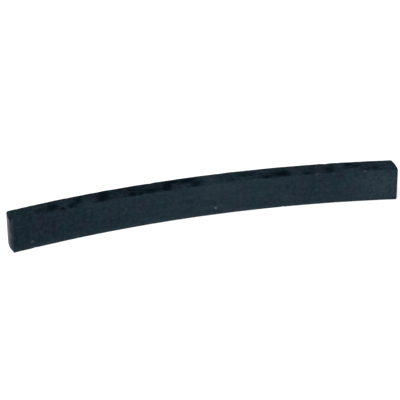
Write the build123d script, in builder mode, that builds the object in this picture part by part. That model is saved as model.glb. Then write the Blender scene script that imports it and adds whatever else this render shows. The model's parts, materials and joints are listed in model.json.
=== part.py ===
from build123d import *
import os
from math import asin, cos, degrees, radians, sin, tan

os.makedirs("parts", exist_ok=True)

# A strip dampener for a racket's string bed: one bar of solid rubber, bowed in plan, that stands on
# one of its two narrow edges. Millimetres and degrees. X runs along the chord of the bow, +Y to its
# bulging side and +Z up. The origin is the middle of the strip's own box, on the face it stands on.

# Driving dimensions
STRIP_CHORD = 100.0      # straight from the middle of one end to the middle of the other
STRIP_BOW = 5.7          # how far the middle of the strip stands behind that chord
STRIP_THICKNESS = 6.1    # from the hollow wall to the bulging wall
STRIP_HEIGHT = 8.6       # from the lower narrow edge to the upper one
EDGE_RADIUS = 0.4        # softened edges of moulded rubber
LEFT_END_CUT = 12.5      # how far the cut at the -X end is turned from square to the strip
RIGHT_END_CUT = -5.5     # the same at the +X end

# The bow is an arc of one circle, whose radius follows from its chord and its height
BOW_RADIUS = (STRIP_CHORD ** 2 / 4 + STRIP_BOW ** 2) / (2 * STRIP_BOW)
HALF_SPAN = degrees(asin(STRIP_CHORD / 2 / BOW_RADIUS))
HOLLOW_RADIUS = BOW_RADIUS - STRIP_THICKNESS / 2
BULGE_RADIUS = BOW_RADIUS + STRIP_THICKNESS / 2


def end_corner(side, wall_radius, cut):
    """A plan corner, from the bow's centre: side is -1 or +1, and a cut end slants across the strip."""
    slant = degrees((wall_radius - BOW_RADIUS) * tan(radians(cut)) / BOW_RADIUS)
    angle = radians(side * HALF_SPAN + slant)
    return Vector(wall_radius * sin(angle), wall_radius * cos(angle))


hollow_left = end_corner(-1, HOLLOW_RADIUS, LEFT_END_CUT)
bulge_left = end_corner(-1, BULGE_RADIUS, LEFT_END_CUT)
hollow_right = end_corner(1, HOLLOW_RADIUS, RIGHT_END_CUT)
bulge_right = end_corner(1, BULGE_RADIUS, RIGHT_END_CUT)

# The box in plan runs from the outermost end corners to the top of the bulging wall
middle_x = (min(hollow_left.X, bulge_left.X) + max(hollow_right.X, bulge_right.X)) / 2
middle_y = (min(hollow_left.Y, hollow_right.Y) + BULGE_RADIUS) / 2
standing_plane = Plane(origin=(-middle_x, -middle_y, 0))

with BuildPart() as dampener_strip:
    with BuildSketch(standing_plane):
        with BuildLine():
            ThreePointArc(hollow_left, (0, HOLLOW_RADIUS), hollow_right)
            Line(hollow_right, bulge_right)
            ThreePointArc(bulge_right, (0, BULGE_RADIUS), bulge_left)
            Line(bulge_left, hollow_left)
        make_face()
    extrude(amount=STRIP_HEIGHT)
    fillet(dampener_strip.edges(), EDGE_RADIUS)

dampener_strip.part.label = "dampener_strip"
export_step(dampener_strip.part, "parts/dampener_strip.step")

box = dampener_strip.part.bounding_box()
print(f"bow radius {BOW_RADIUS:.1f} mm, half span {HALF_SPAN:.2f} degrees")
print(f"box {box.size.X:.2f} x {box.size.Y:.2f} x {box.size.Z:.2f} mm")
print(f"box middle {box.center().X:.3f}, {box.center().Y:.3f}, lowest {box.min.Z:.3f}")
print(f"volume {dampener_strip.part.volume / 1000:.3f} cm3")
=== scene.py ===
# %% [markdown]
# # A bowed rubber strip that calms a racket's strings
#
# The object is one solid bar of near-black rubber, bent in a gentle bow. It has two wide curved walls, two
# narrow flat edges and two cut ends. The CAD model already holds its size and its place. Blender's work
# here is the skin: edges that use has softened, cut faces with their marks, and rubber that looks like
# rubber.

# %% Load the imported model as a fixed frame
import json
from math import asin, cos, exp, radians, sin, tan
from random import Random

import bpy
from mathutils import Matrix, Vector, noise


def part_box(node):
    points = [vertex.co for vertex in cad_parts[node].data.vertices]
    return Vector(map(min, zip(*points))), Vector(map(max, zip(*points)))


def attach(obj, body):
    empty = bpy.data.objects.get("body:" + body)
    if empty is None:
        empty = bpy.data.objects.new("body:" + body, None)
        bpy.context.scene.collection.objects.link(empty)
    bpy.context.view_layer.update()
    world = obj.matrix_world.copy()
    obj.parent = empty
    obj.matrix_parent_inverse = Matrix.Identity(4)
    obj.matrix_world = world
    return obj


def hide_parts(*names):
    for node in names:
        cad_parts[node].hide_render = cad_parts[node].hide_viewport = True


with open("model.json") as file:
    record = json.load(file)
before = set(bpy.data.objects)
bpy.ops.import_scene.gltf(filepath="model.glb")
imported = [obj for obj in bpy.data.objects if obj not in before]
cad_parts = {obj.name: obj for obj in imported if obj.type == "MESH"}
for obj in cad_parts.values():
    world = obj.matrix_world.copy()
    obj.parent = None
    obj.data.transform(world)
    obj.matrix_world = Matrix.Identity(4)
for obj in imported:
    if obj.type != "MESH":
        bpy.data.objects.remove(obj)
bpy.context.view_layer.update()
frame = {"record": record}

MM = 0.001
scene = bpy.context.scene

# %% [markdown]
# ## The bow's own numbers
#
# Everything is placed in the strip's own straight coordinates first: how far along the bow, how far across
# its thickness, and how high. One short function bends that straight bar into the real bow. So a nick or a
# cut mark is placed the way a maker would measure it with a tape, and it follows the curve by itself. The
# thickness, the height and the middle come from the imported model. The chord, the bow and the slant of the
# two cuts aren't in its record, so they are given here once more, with the values that the solid has.

# %% Read the strip's size and place from the frame
mounts = {mount["name"]: Vector(mount["pos_m"]) for mount in frame["record"]["mounts"]}
low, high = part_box("dampener_strip")
HEIGHT = high.z - low.z
THICKNESS = mounts["bulging_wall"].y - mounts["hollow_wall"].y
MIDDLE = (mounts["hollow_wall"] + mounts["bulging_wall"]) / 2

CHORD = 100 * MM
BOW = 5.7 * MM
LEFT_END_CUT = radians(12.5)
RIGHT_END_CUT = radians(-5.5)
BOW_RADIUS = (CHORD ** 2 / 4 + BOW ** 2) / (2 * BOW)
HALF_LENGTH = BOW_RADIUS * asin(CHORD / 2 / BOW_RADIUS)
print(f"strip {2 * HALF_LENGTH / MM:.1f} mm along its bow,",
      f"{THICKNESS / MM:.1f} thick, {HEIGHT / MM:.1f} high")


# %% Bend a straight place into the bow
def bent(place):
    """A point of the bow from its straight place, which is along, across to the bulging side, and up."""
    cut = tan(LEFT_END_CUT) if place.x < 0 else tan(RIGHT_END_CUT)
    slant = place.y * cut * abs(place.x) / HALF_LENGTH
    angle = (place.x + slant) / BOW_RADIUS
    reach = BOW_RADIUS + place.y
    return MIDDLE + Vector((reach * sin(angle), reach * cos(angle) - BOW_RADIUS, place.z))


# %% [markdown]
# ## Camera
#
# The strip is seen from a little to its left and from above, with a long lens, so that its far end shrinks
# only a little. The camera is made early, because every later choice of light and finish is judged through
# it. It aims just below the strip's middle, which leaves the bar a touch above the centre of the picture.

# %% Set the camera
VIEW_AZIMUTH = radians(-17.0)
VIEW_ELEVATION = radians(24.6)
VIEW_ROLL = radians(0.43)
VIEW_DISTANCE = 408 * MM
AIM_LEFT = 0.37 * MM
AIM_BELOW = 1.0 * MM
LENS = 146.1
SENSOR_WIDTH = 36

ahead = Vector((-sin(VIEW_AZIMUTH) * cos(VIEW_ELEVATION), cos(VIEW_AZIMUTH) * cos(VIEW_ELEVATION),
                -sin(VIEW_ELEVATION)))
level = Vector((cos(VIEW_AZIMUTH), sin(VIEW_AZIMUTH), 0))
upright = level.cross(ahead)
right = level * cos(VIEW_ROLL) - upright * sin(VIEW_ROLL)
top = level * sin(VIEW_ROLL) + upright * cos(VIEW_ROLL)
eye = MIDDLE - ahead * VIEW_DISTANCE
back = (eye - (MIDDLE - right * AIM_LEFT - top * AIM_BELOW)).normalized()
right = top.cross(back).normalized()

camera_data = bpy.data.cameras.new("studio_camera")
camera_data.lens = LENS
camera_data.sensor_width = SENSOR_WIDTH
camera_data.clip_start = 0.01
camera = bpy.data.objects.new("studio_camera", camera_data)
scene.collection.objects.link(camera)
camera.matrix_world = Matrix.Translation(eye) @ Matrix((right, back.cross(right), back)).transposed().to_4x4()
scene.camera = camera
print("camera stands at, in mm:", [round(c / MM) for c in eye])

# %% [markdown]
# ## The grid of the bar
#
# A sharp box with a bevel would do for a plain bar, but its few large faces could not carry cut marks and
# worn edges. So the bar starts as the skin of a fine block of cells, about a quarter of a millimetre each.
# Grid lines are packed closer together near the block's edges, because the rounding happens there.

# %% Lay the grid lines
EDGE_RADIUS = 0.4 * MM
CELL = 0.24 * MM
EDGE_CELLS = 3


def grid_lines(half):
    """Places of the grid lines from -half to +half, with a few extra ones in each rounded edge."""
    flat = half - EDGE_RADIUS
    count = round(2 * flat / CELL)
    inner = [-flat + 2 * flat * i / count for i in range(count + 1)]
    edge = [flat + EDGE_RADIUS * (i + 1) / EDGE_CELLS for i in range(EDGE_CELLS)]
    return [-place for place in reversed(edge)] + inner + edge


lines = [grid_lines(half) for half in (HALF_LENGTH, THICKNESS / 2, HEIGHT / 2)]
print("grid lines along, across and up:", [len(each) for each in lines])


# %% Collect the cells of the block's skin
def block_skin(lines):
    """Corners and four-sided faces of the block's surface. Neighbouring faces share their corners."""
    number, corners, faces = {}, [], []

    def corner(key):
        if key not in number:
            number[key] = len(corners)
            corners.append(Vector([lines[axis][key[axis]] for axis in range(3)]))
        return number[key]

    for axis in range(3):
        one, two = (axis + 1) % 3, (axis + 2) % 3
        for end in (0, len(lines[axis]) - 1):
            for i in range(len(lines[one]) - 1):
                for j in range(len(lines[two]) - 1):
                    face = []
                    for step_one, step_two in ((0, 0), (1, 0), (1, 1), (0, 1)):
                        key = [0, 0, 0]
                        key[axis], key[one], key[two] = end, i + step_one, j + step_two
                        face.append(corner(tuple(key)))
                    faces.append(face if end else face[::-1])
    return corners, faces


block_corners, block_faces = block_skin(lines)
print(len(block_corners), "corners and", len(block_faces), "faces")

# %% [markdown]
# ## Softened edges
#
# Every point near an edge is pulled onto a small ball that rolls along it. The direction from the ball's
# middle to the point is also the way the skin faces there, and that direction is kept: it says which face a
# point belongs to, and which way a dent pushes it.


# %% Round the block
def rounded(place):
    """The place pulled onto the rounded bar, and the direction that the skin faces there."""
    halves = (HALF_LENGTH, THICKNESS / 2, HEIGHT / 2)
    core = Vector([max(EDGE_RADIUS - half, min(half - EDGE_RADIUS, c)) for c, half in zip(place, halves)])
    facing = (place - core).normalized()
    return core + facing * EDGE_RADIUS, facing


skin = [rounded(place) for place in block_corners]

# %% [markdown]
# ## Relief: what knife, mould and pocket left
#
# The wide walls were moulded, so they only roll a little. The narrow edges and the ends were trimmed, so
# they carry shallow scallops and fine drag lines. Small nicks sit where the edges get knocked. Real relief
# is better here than a bump map, because it also breaks the outline and the highlights along the edges. The
# lower edge only gets relief that goes inwards and stops a hair above the floor, so the bar never cuts into
# what it stands on.

# %% Relief of each kind of face
WALL_ROLL = 0.035 * MM
WALL_PEBBLE = 0.006 * MM
TRIM_SCALLOP = 0.05 * MM
TRIM_GRAIN = 0.01 * MM
DRAG_LINE = 0.008 * MM
DRAG_LINE_STEP = 0.13 * MM
END_CROWN = 0.22 * MM
END_SWELL = 0.03 * MM
LEFT_ROLL_OFF = 0.35 * MM


def wall_relief(place):
    """Moulded rubber rolls slowly, with a faint pebble on top."""
    slow = noise.noise(place / (11 * MM))
    pebble = noise.noise(place / (0.9 * MM) + Vector((7, 3, 1)))
    return WALL_ROLL * slow + WALL_PEBBLE * pebble


def trim_relief(place):
    """A trimmed edge has shallow scallops, longer along the strip than across it."""
    stretched = Vector((place.x / (3.2 * MM), place.y / (2.4 * MM), place.z / (4 * MM)))
    scallop = noise.fractal(stretched + Vector((0, 5, 9)), 1.0, 2.0, 3)
    grain = noise.noise(place / (0.6 * MM))
    return TRIM_SCALLOP * scallop + TRIM_GRAIN * grain


def end_relief(place):
    """A blade leaves fine lines and a slight crown, and the left end also rolls off in front."""
    drift = noise.noise(place / (2.5 * MM)) * 2.2
    line = sin(place.y / DRAG_LINE_STEP + drift)
    across = 2 * place.y / THICKNESS
    crown = END_CROWN * (1 - across ** 2)
    rolled = LEFT_ROLL_OFF * min(0, across) ** 2 if place.x < 0 else 0
    swell = END_SWELL * noise.noise(place / (2 * MM))
    return crown - rolled + DRAG_LINE * line + swell


# %% Nicks along the edges
# each nick: along from the middle, which side across, which side up, its half width and its depth, in mm
NICKS = [(13.4, -1, 1, 0.5, 0.14), (29.6, -1, 1, 0.5, 0.18), (42.3, -1, 1, 0.6, 0.17),
         (-44.6, -1, -1, 0.5, 0.15), (-12.8, 1, 1, 0.6, 0.12), (33.0, 1, 1, 0.7, 0.12),
         (-31.0, 1, -1, 0.6, 0.14), (20.5, -1, -1, 0.4, 0.1)]
NICK_REACH = 3


def nick_dip(place):
    """How deep the nicks cut here. A nick is left out beyond a few of its half widths."""
    dip = 0
    for along, side, above, width, depth in NICKS:
        middle = Vector((along * MM, side * THICKNESS / 2, above * HEIGHT / 2))
        off = (place - middle) / (width * MM)
        if off.length < NICK_REACH:
            dip += depth * MM * exp(-off.length_squared)
    return dip


# %% Put the relief together
EDGE_WEAR = 0.05 * MM
FLOOR_GAP = 0.01 * MM


def relief(place, facing):
    """How far the skin stands off the clean bar: a blend of the reliefs of the faces it turns to."""
    wall, trim, end = facing.y ** 2, facing.z ** 2, facing.x ** 2
    height = wall * wall_relief(place) + trim * trim_relief(place) + end * end_relief(place)
    wear = EDGE_WEAR * (1 - max(wall, trim, end)) * (1 + noise.noise(place / (4 * MM)))
    height -= wear + nick_dip(place)
    return min(-FLOOR_GAP, height) if facing.z < -0.5 else height


# %% [markdown]
# ## Where the trimmed edge is darker
#
# Trimming leaves the narrow edges blotchy: fresh, dense rubber shows nearly black between stretches that
# carry a thin grey bloom. The blotches are placed along the upper edge, each as a soft leaning ellipse.
# The mesh only keeps how near a point is to one. The finish later cuts that soft field with noise, which
# gives ragged outlines that are finer than the mesh. The last two are broad and weak, and darken the left
# half as a whole. The lower edge gets blotches of the same kind from a seeded draw.

# %% Place the blotches
# each blotch: along, across, half length and half width in mm, and its strength
UPPER_BLOTCHES = [(-42.4, -0.9, 1.1, 1.6, 0.75), (-39.3, -0.8, 1.5, 2.2, 1.05), (-37.0, -2.3, 0.7, 0.8, 0.8),
                  (-33.9, -1.7, 1.6, 1.7, 0.85), (-32.2, 0.5, 0.9, 1.6, 1.0), (-26.0, -0.5, 1.7, 3.0, 1.15),
                  (-21.5, 1.4, 2.8, 1.3, 0.55), (-18.2, 0.8, 1.7, 1.4, 0.9), (-18.3, -1.8, 1.3, 1.5, 1.1),
                  (-16.5, -2.3, 0.8, 1.2, 1.1), (-13.4, -1.4, 2.9, 1.7, 0.9), (-14.0, 1.5, 3.0, 1.0, 0.45),
                  (-22.8, -1.2, 2.2, 1.7, 0.5), (-15.8, 0.4, 1.5, 1.5, 0.6), (-11.3, 0.8, 1.4, 1.4, 0.5),
                  (-9.3, -0.8, 1.5, 2.5, 1.25), (-7.0, 1.3, 2.2, 1.0, 1.05), (-3.4, 0.9, 2.3, 1.3, 1.05),
                  (-5.6, 0.2, 1.3, 1.2, 0.6), (-30.0, 1.4, 1.6, 1.0, 0.4), (-45.5, 0.8, 2.5, 1.6, 0.3),
                  (-1.7, -1.4, 1.5, 1.8, 0.95), (7.2, -1.6, 1.5, 1.2, 0.45), (11.3, 0.3, 2.7, 1.0, 0.6),
                  (16.6, -2.3, 1.7, 0.9, 1.0), (20.2, -1.5, 2.7, 1.8, 1.05), (26.8, -2.6, 1.3, 0.9, 0.9),
                  (28.6, 0.0, 1.6, 1.4, 0.5), (33.0, -1.4, 1.3, 2.0, 0.85), (38.6, 1.0, 1.1, 1.4, 1.0),
                  (40.3, 0.2, 1.0, 1.0, 0.75), (42.3, -2.3, 0.9, 0.7, 0.65), (44.8, -1.5, 1.1, 1.1, 0.65),
                  (-21.0, 0.0, 19.0, 6.0, 0.3), (-13.0, -0.5, 9.0, 6.0, 0.42)]
draw = Random(12)
LOWER_BLOTCHES = [(-46 + 7.3 * i + draw.uniform(-2, 2), draw.uniform(-2, 2), draw.uniform(1.2, 3.0),
                   draw.uniform(0.9, 2.6), draw.uniform(0.5, 1.0)) for i in range(13)]
print(len(UPPER_BLOTCHES), "blotches on the upper edge,", len(LOWER_BLOTCHES), "on the lower one")

# %% Turn the blotches into a soft field
LEAN = 0.3
BLOTCH_FADE = 0.7


def blotch(place, facing):
    """How near a trimmed edge's point is to a blotch, as a soft field from 0 to about 1."""
    on_edge = min(1, (abs(facing.z) - 0.5) * 4)
    if on_edge < 0:
        return 0
    nearest = 0
    blotches = UPPER_BLOTCHES if facing.z > 0 else LOWER_BLOTCHES
    for along, across, half_length, half_width, strength in blotches:
        sideways = place.y / MM - across
        lengthwise = place.x / MM - along - LEAN * sideways
        off = (lengthwise / half_length) ** 2 + (sideways / half_width) ** 2
        nearest = max(nearest, strength * exp(-BLOTCH_FADE * off))
    return nearest * on_edge


# %% [markdown]
# ## Veil, bloom and dust, with painted light
#
# Wax and oil creep out of rubber with age and dry as a thin grey film. On both wide walls it is a smooth
# veil, which thins out towards the left end, and a speckled bloom where it is thickest: at the right end,
# along the long edges, and in short patches on the upper edge. Part of this is painted light: the veil
# makes the walls lighter towards the right end, where the bow turns towards the light, and the bloom on
# the back long edges is also a painted highlight. Dust sticks to it: a few crumbs on the hollow wall, and
# fine powder on the left end, which grows paler towards its back edge and is there also a painted sheen.
# All of them are soft fields on the mesh, and the finish breaks them up with noise.

# %% Place the veil, the bloom and the crumbs
# each patch of veil on both wide walls, which also paints them lighter towards the right end: along,
# up, half length and half height in mm, and its strength
WALL_VEIL_AND_LIGHT = [(7.0, 0.0, 37.0, 14.0, 1.0)]
# each patch of bloom on both wide walls, in the same order
WALL_BLOOM = [(47.5, 0.0, 8.5, 6.0, 1.0), (2.0, 3.7, 6.0, 1.2, 0.6), (-22.0, 3.9, 15.0, 0.8, 0.4),
              (-40.0, -3.8, 13.0, 0.8, 0.8), (-5.0, -3.9, 30.0, 0.7, 0.8), (30.0, -3.9, 20.0, 0.6, 0.5)]
# each patch of bloom on the upper edge: along, across, half length and half width in mm, and its strength
EDGE_BLOOM = [(2.4, -0.5, 3.0, 3.2, 1.0), (-30.2, -1.8, 1.5, 1.7, 1.0), (-6.2, -1.8, 1.3, 1.5, 0.9),
              (24.0, -0.5, 1.3, 2.8, 0.9), (36.3, 0.5, 1.3, 2.5, 0.9), (40.0, -1.9, 2.2, 1.1, 0.8),
              (-36.0, 0.5, 1.3, 2.0, 0.6), (-45.0, 0.0, 5.0, 3.0, 0.3), (29.5, 0.5, 2.0, 1.5, 0.6),
              (-12.5, 1.8, 2.0, 1.0, 0.4), (47.0, 0.5, 2.0, 2.0, 0.5)]
# bloom on the back long edges, which is also a painted highlight along their rounding
RIM_BLOOM_AND_HIGHLIGHT = 0.8
# each crumb of dust on the hollow wall: along, up, half width and half height in mm, and its strength
CRUMBS = [(-45.3, -2.35, 0.42, 0.22, 0.13), (2.8, -2.35, 0.24, 0.22, 0.3), (29.3, 4.1, 0.4, 0.22, 0.09),
          (42.0, 4.1, 0.4, 0.22, 0.12), (13.2, 4.15, 0.35, 0.2, 0.06), (-20.6, 1.1, 0.2, 0.2, 0.05)]
# powder on the left end, which is also a painted sheen there
END_DUST_AND_SHEEN = 0.08
print(len(EDGE_BLOOM), "patches of bloom on the upper edge and", len(CRUMBS), "crumbs of dust")


# %% Read the film and the dust at a point
def strongest(patches, one, two):
    """The strongest patch at a point of a face, where one and two are its places on that face in mm."""
    most = 0
    for place_one, place_two, half_one, half_two, strength in patches:
        off = ((one - place_one) / half_one) ** 2 + ((two - place_two) / half_two) ** 2
        most = max(most, strength * exp(-off))
    return most


def crease(facing):
    """1 in the middle of a long rounded edge and 0 on the flat faces and at the ends."""
    return 4 * facing.y ** 2 * facing.z ** 2


def bloom_and_highlight(place, facing):
    """How much grey bloom a point carries, from 0 to 1. On the back long edges it is also a painted
    highlight.
    """
    on_wall = strongest(WALL_BLOOM, place.x / MM, place.z / MM) * facing.y ** 2
    on_edge = strongest(EDGE_BLOOM, place.x / MM, place.y / MM) * facing.z ** 2
    # the back long edges: bloom, and a painted highlight along their rounding
    rim_bloom_and_highlight = RIM_BLOOM_AND_HIGHLIGHT * crease(facing) if facing.y > 0 else 0
    return on_wall + on_edge + rim_bloom_and_highlight


def veil_and_light(place, facing):
    """How thick the smooth grey veil is on a wide wall, from 0 to 1. It is also painted light: the walls
    get lighter towards the right end.
    """
    return strongest(WALL_VEIL_AND_LIGHT, place.x / MM, place.z / MM) * facing.y ** 2


def dust_and_sheen(place, facing):
    """How much of this point dust covers: the hollow wall's crumbs, and the powder on the left end. On the
    left end it grows towards the back edge, where it is also a painted sheen.
    """
    if facing.y < -0.3:
        return strongest(CRUMBS, place.x / MM, place.z / MM)
    if facing.x > -0.3:
        return 0
    # the left end gets paler towards its back edge and below its upper rim: powder, and a painted sheen
    towards_back = max(0, min(1, 2 * place.y / THICKNESS + 0.8))
    below_rim = 1 - max(0, 2 * place.z / HEIGHT) ** 4
    patchy = 1 + 0.5 * noise.noise(place / (1.5 * MM))
    return END_DUST_AND_SHEEN * towards_back * below_rim * patchy


# %% [markdown]
# ## The strip itself
#
# Now the block's corners can take their real places. Each one moves along the way it faces by the relief
# there, and is then bent into the bow. The faces stay as they were, so the skin is closed and has no seams.

# %% Make the mesh
strip_mesh = bpy.data.meshes.new("rubber_strip")
points = [bent(place + facing * relief(place, facing)) for place, facing in skin]
strip_mesh.from_pydata(points, [], block_faces)
strip_mesh.shade_smooth()
strip = bpy.data.objects.new("rubber_strip", strip_mesh)
scene.collection.objects.link(strip)
print("strip mesh:", len(strip_mesh.vertices), "points,", len(strip_mesh.polygons), "faces")

# %% [markdown]
# ## Notes for the finish, kept on the mesh
#
# The finish has to know things that only the mesh code knows: the straight place of each point, which kind
# of face it is on, how near it is to a long edge, and how much blotch, veil, bloom and dust it carries. The
# veil, the bloom on the back long edges and the powder on the left end are partly painted light.
# They are stored as attributes of the points, so grain and streaks run along the bow and not along the
# room.


# %% Store the attributes
def keep(name, kind, values):
    """Stores one value for each point of the strip's mesh."""
    attribute = strip_mesh.attributes.new(name, kind, "POINT")
    field = "vector" if kind == "FLOAT_VECTOR" else "value"
    flat = [c for value in values for c in value] if field == "vector" else values
    attribute.data.foreach_set(field, flat)


keep("straight_place", "FLOAT_VECTOR", [place / MM for place, facing in skin])
keep("trim_side", "FLOAT", [facing.z ** 2 for place, facing in skin])
keep("dark_blotch", "FLOAT", [blotch(place, facing) for place, facing in skin])
keep("edge", "FLOAT", [crease(facing) for place, facing in skin])
keep("bloom_and_highlight", "FLOAT", [bloom_and_highlight(place, facing) for place, facing in skin])
keep("cut_end", "FLOAT", [facing.x ** 2 for place, facing in skin])
keep("veil_and_light", "FLOAT", [veil_and_light(place, facing) for place, facing in skin])
keep("dust_and_sheen", "FLOAT", [dust_and_sheen(place, facing) for place, facing in skin])
print("notes kept:", [each.name for each in strip_mesh.attributes if each.domain == "POINT"])

# %% Say what the mesh stands for
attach(strip, "root")
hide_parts("dampener_strip")

# %% [markdown]
# ## The rubber
#
# Carbon black makes rubber almost black, but never quite: a slate tint shows where light rakes it. The
# colour is a dark slate with slow clouds of a bluer and a greener tone, and a fine grain. The film, the
# fresh black, the wear and the dust are then laid over it one after the other, in the order in which they
# come about on real rubber. The film and the dust also carry some painted light.

# %% A small kit for wiring nodes
rubber = bpy.data.materials.new("slate_rubber")
rubber.use_nodes = True
nodes = rubber.node_tree.nodes
links = rubber.node_tree.links
shader = nodes["Principled BSDF"]


def feed(socket, value):
    """Plugs a node's output into a socket, or sets a plain value there."""
    if isinstance(value, bpy.types.NodeSocket):
        links.new(value, socket)
    else:
        socket.default_value = value


def mark(name, output="Fac"):
    """Reads one of the mesh's attributes."""
    node = nodes.new("ShaderNodeAttribute")
    node.attribute_name = name
    return node.outputs[output]


def grain(size, detail=3, rough=0.5, stretch=(1, 1, 1)):
    """Noise whose lumps are about size millimetres, in the strip's straight coordinates."""
    scaled = nodes.new("ShaderNodeVectorMath")
    scaled.operation = "MULTIPLY"
    feed(scaled.inputs[0], mark("straight_place", "Vector"))
    scaled.inputs[1].default_value = [1 / (size * s) for s in stretch]
    node = nodes.new("ShaderNodeTexNoise")
    links.new(scaled.outputs[0], node.inputs["Vector"])
    node.inputs["Scale"].default_value = 1
    node.inputs["Detail"].default_value = detail
    node.inputs["Roughness"].default_value = rough
    return node.outputs["Fac"]


def spread(value, start, end, low=0.0, high=1.0):
    """Maps the stretch from start to end onto low to high, and stops there."""
    node = nodes.new("ShaderNodeMapRange")
    for socket, number in zip(node.inputs, (value, start, end, low, high)):
        feed(socket, number)
    return node.outputs[0]


def sums(operation, one, two):
    """One step of arithmetic."""
    node = nodes.new("ShaderNodeMath")
    node.operation = operation
    feed(node.inputs[0], one)
    feed(node.inputs[1], two)
    return node.outputs[0]


def blend_colour(share, one, two):
    """Mixes two colours by a share from 0 to 1."""
    node = nodes.new("ShaderNodeMix")
    node.data_type = "RGBA"
    feed(node.inputs["Factor"], share)
    feed(node.inputs["A"], one)
    feed(node.inputs["B"], two)
    return node.outputs["Result"]


# %% Noise as a wandering value
def wandering(low, high, size, detail, rough=0.5, stretch=(1, 1, 1), band=(0.3, 0.7)):
    """A value that wanders from low to high in lumps of about size millimetres. The band is the stretch of
    the noise's own values that is used: a narrow one gives harder outlines."""
    return spread(grain(size, detail, rough, stretch), *band, low, high)


# %% Colour of the rubber
SLATE = (0.0076, 0.0156, 0.0236, 1)
TEAL = (0.0068, 0.0181, 0.0228, 1)
DUSK = (0.0110, 0.0149, 0.0244, 1)
FRESH_BLACK = (0.0001, 0.0018, 0.0042, 1)
BLOOM_AND_LIGHT_GREY = (0.0340, 0.0510, 0.0630, 1)
DUST_AND_SHEEN_GREY = (0.45, 0.50, 0.56, 1)

clouds = wandering(0.0, 1.0, 5.5, 2, band=(0.35, 0.65))
tint = wandering(0.0, 1.0, 3.7, 1, band=(0.4, 0.7))
base = blend_colour(clouds, SLATE, TEAL)
base = blend_colour(tint, base, DUSK)
mottle = sums("MULTIPLY", wandering(0.42, 1.58, 1.0, 4, 0.65), wandering(0.76, 1.24, 0.5, 3, 0.6, (7, 1, 1)))
# The narrow edges are made half again as light: a dusty bloom, and painted light from above on the upper
# edge.
mottle = sums("MULTIPLY", mottle, spread(mark("trim_side"), 0, 1, 1.0, 1.5))
speckle = nodes.new("ShaderNodeVectorMath")
speckle.operation = "SCALE"
feed(speckle.inputs[0], base)
feed(speckle.inputs["Scale"], mottle)
colour = speckle.outputs[0]
print("base colour: slate with teal and dusk clouds")

# %% [markdown]
# ## What lies on the rubber
#
# The film goes on first, because it grew on the untouched skin. Blotches, scrapes and cut ends then break
# through it to fresh black. Worn edges turn grey again, and dust lies on top of everything. Parts of the
# film and the dust are painted light: the walls lighter towards the right end, the back long edges lighter,
# and a sheen on the left end. Each step mixes one more colour in, by a mark from the mesh times a noise, so
# that none of them ends in a clean line.
# Blotches add their noise before the cut instead, which moves the outline itself. Painted textures could do
# all of this too, but they would blur up close, and they would have to be stretched over the bow.

# %% Film and fresh black
# The veil is partly painted light: it makes the walls lighter towards the right end.
filmed_and_lit = sums("MULTIPLY", mark("veil_and_light"), wandering(0.12, 0.40, 1.3, 3, 0.6, (5, 1, 1)))
colour = blend_colour(filmed_and_lit, colour, BLOOM_AND_LIGHT_GREY)
# The bloom on the back long edges is partly a painted highlight.
hazed_and_lit = sums("MULTIPLY", mark("bloom_and_highlight"), wandering(0.05, 0.8, 0.7, 5, 0.75, band=(0.34, 0.66)))
colour = blend_colour(hazed_and_lit, colour, BLOOM_AND_LIGHT_GREY)
ragged = sums("MULTIPLY", sums("SUBTRACT", grain(0.9, 6, 0.8), 0.5), 2.3)
torn = spread(sums("ADD", mark("dark_blotch"), ragged), 0.08, 0.92, 0.0, 0.93)
on_trim = spread(mark("dark_blotch"), 0.02, 0.2)
colour = blend_colour(sums("MULTIPLY", torn, on_trim), colour, FRESH_BLACK)
scraped = sums("MULTIPLY", mark("trim_side"), wandering(0.0, 0.5, 1.4, 4, 0.65, band=(0.45, 0.7)))
colour = blend_colour(scraped, colour, FRESH_BLACK)
fresh_cut = sums("MULTIPLY", mark("cut_end"), wandering(0.35, 0.9, 1.2, 4, 0.65))
colour = blend_colour(fresh_cut, colour, FRESH_BLACK)
print("film and fresh black mixed in")

# %% Wear, and dust with a painted sheen, on top
worn = sums("MULTIPLY", mark("edge"), wandering(0.0, 0.6, 1.3, 4, 0.65, band=(0.5, 0.8)))
colour = blend_colour(worn, colour, BLOOM_AND_LIGHT_GREY)
thinnest = spread(mark("cut_end"), 0, 1, 1.0, 0.3)
thickest = spread(mark("cut_end"), 0, 1, 1.0, 1.7)
powder_and_sheen = wandering(thinnest, thickest, 0.5, 5, 0.8, band=(0.35, 0.65))
# The powder on the left end is partly a painted sheen.
colour = blend_colour(sums("MULTIPLY", mark("dust_and_sheen"), powder_and_sheen), colour, DUST_AND_SHEEN_GREY)
feed(shader.inputs["Base Color"], colour)
print("wear and dust mixed in")

# %% [markdown]
# ## Gloss
#
# The rubber is nearly matt, with a weak bluish shine that is rougher where the skin is torn. Its fine
# powdery film glows only where light skims it, as on the left end, and a sheen does that. These numbers are
# the same all over, so they stay on the shader's own sockets. A faint bump stands for the pebble that is
# finer than the mesh.

# %% Gloss and fine relief
TORN_ROUGHNESS = 0.85
matt = wandering(0.5, 0.72, 1.6, 4, 0.6)
feed(shader.inputs["Roughness"], spread(torn, 0, 1, matt, TORN_ROUGHNESS))
shader.inputs["Specular IOR Level"].default_value = 0.10
shader.inputs["Specular Tint"].default_value = (0.2, 0.65, 1.0, 1)
shader.inputs["Sheen Weight"].default_value = 0.35
shader.inputs["Sheen Roughness"].default_value = 0.2
shader.inputs["Sheen Tint"].default_value = (0.8, 0.9, 1.0, 1)
pebble = nodes.new("ShaderNodeBump")
pebble.inputs["Strength"].default_value = 0.5
pebble.inputs["Distance"].default_value = 0.04 * MM
feed(pebble.inputs["Height"], grain(0.3, 3, 0.6))
feed(shader.inputs["Normal"], pebble.outputs[0])
strip_mesh.materials.append(rubber)
print("rubber finish:", len(nodes), "nodes")

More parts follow.
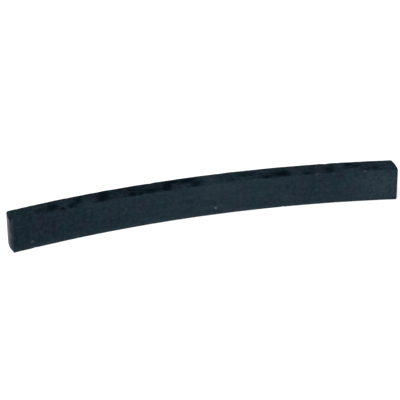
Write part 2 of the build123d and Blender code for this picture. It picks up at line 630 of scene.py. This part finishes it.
# %% [markdown]
# ## Studio
#
# The strip stands on a plain white sheet that glows a little by itself, as lit from below, so it stays pale
# and hardly takes a shadow. The light is soft: a wide panel in front on the left, about 35 degrees up,
# lights the hollow wall. A weaker one hangs overhead, a little behind the strip, and a dim room fills the
# rest.

# %% Floor
FLOOR = 3.0
PAPER_GREY = 0.5
PAPER_GLOW = 0.78
floor_mesh = bpy.data.meshes.new("white_floor")
floor_corners = [(-FLOOR, -FLOOR, 0), (FLOOR, -FLOOR, 0), (FLOOR, FLOOR, 0), (-FLOOR, FLOOR, 0)]
floor_mesh.from_pydata(floor_corners, [], [(0, 1, 2, 3)])
floor = bpy.data.objects.new("white_floor", floor_mesh)
scene.collection.objects.link(floor)
paper = bpy.data.materials.new("white_paper")
paper.use_nodes = True
paper_shader = paper.node_tree.nodes["Principled BSDF"]
paper_shader.inputs["Base Color"].default_value = (PAPER_GREY, PAPER_GREY, PAPER_GREY, 1)
paper_shader.inputs["Roughness"].default_value = 0.9
paper_shader.inputs["Specular IOR Level"].default_value = 0.0
paper_shader.inputs["Emission Color"].default_value = (1, 1, 1, 1)
paper_shader.inputs["Emission Strength"].default_value = PAPER_GLOW
floor_mesh.materials.append(paper)
print("floor:", 2 * FLOOR, "m wide")

# %% Light
ROOM_GREY = 0.5
ROOM_LIGHT = 0.12
world = bpy.data.worlds.new("dim_room")
world.use_nodes = True
room = world.node_tree.nodes["Background"]
room.inputs["Color"].default_value = (ROOM_GREY, ROOM_GREY, ROOM_GREY, 1)
room.inputs["Strength"].default_value = ROOM_LIGHT
scene.world = world


def panel(name, place, size, power):
    """A soft square lamp that faces the strip, with its size in metres and its power in watts."""
    data = bpy.data.lights.new(name, "AREA")
    data.size = size
    data.energy = power
    lamp = bpy.data.objects.new(name, data)
    scene.collection.objects.link(lamp)
    lamp.location = place
    lamp.rotation_euler = (MIDDLE - Vector(place)).to_track_quat("-Z", "Y").to_euler()
    return lamp


panel("front_panel", (-0.645, -0.504, 0.574), 0.8, 8.9)
panel("overhead_panel", (-0.1, 0.12, 0.9), 0.9, 3.6)
scene.view_settings.view_transform = "Standard"
print("lamps set")
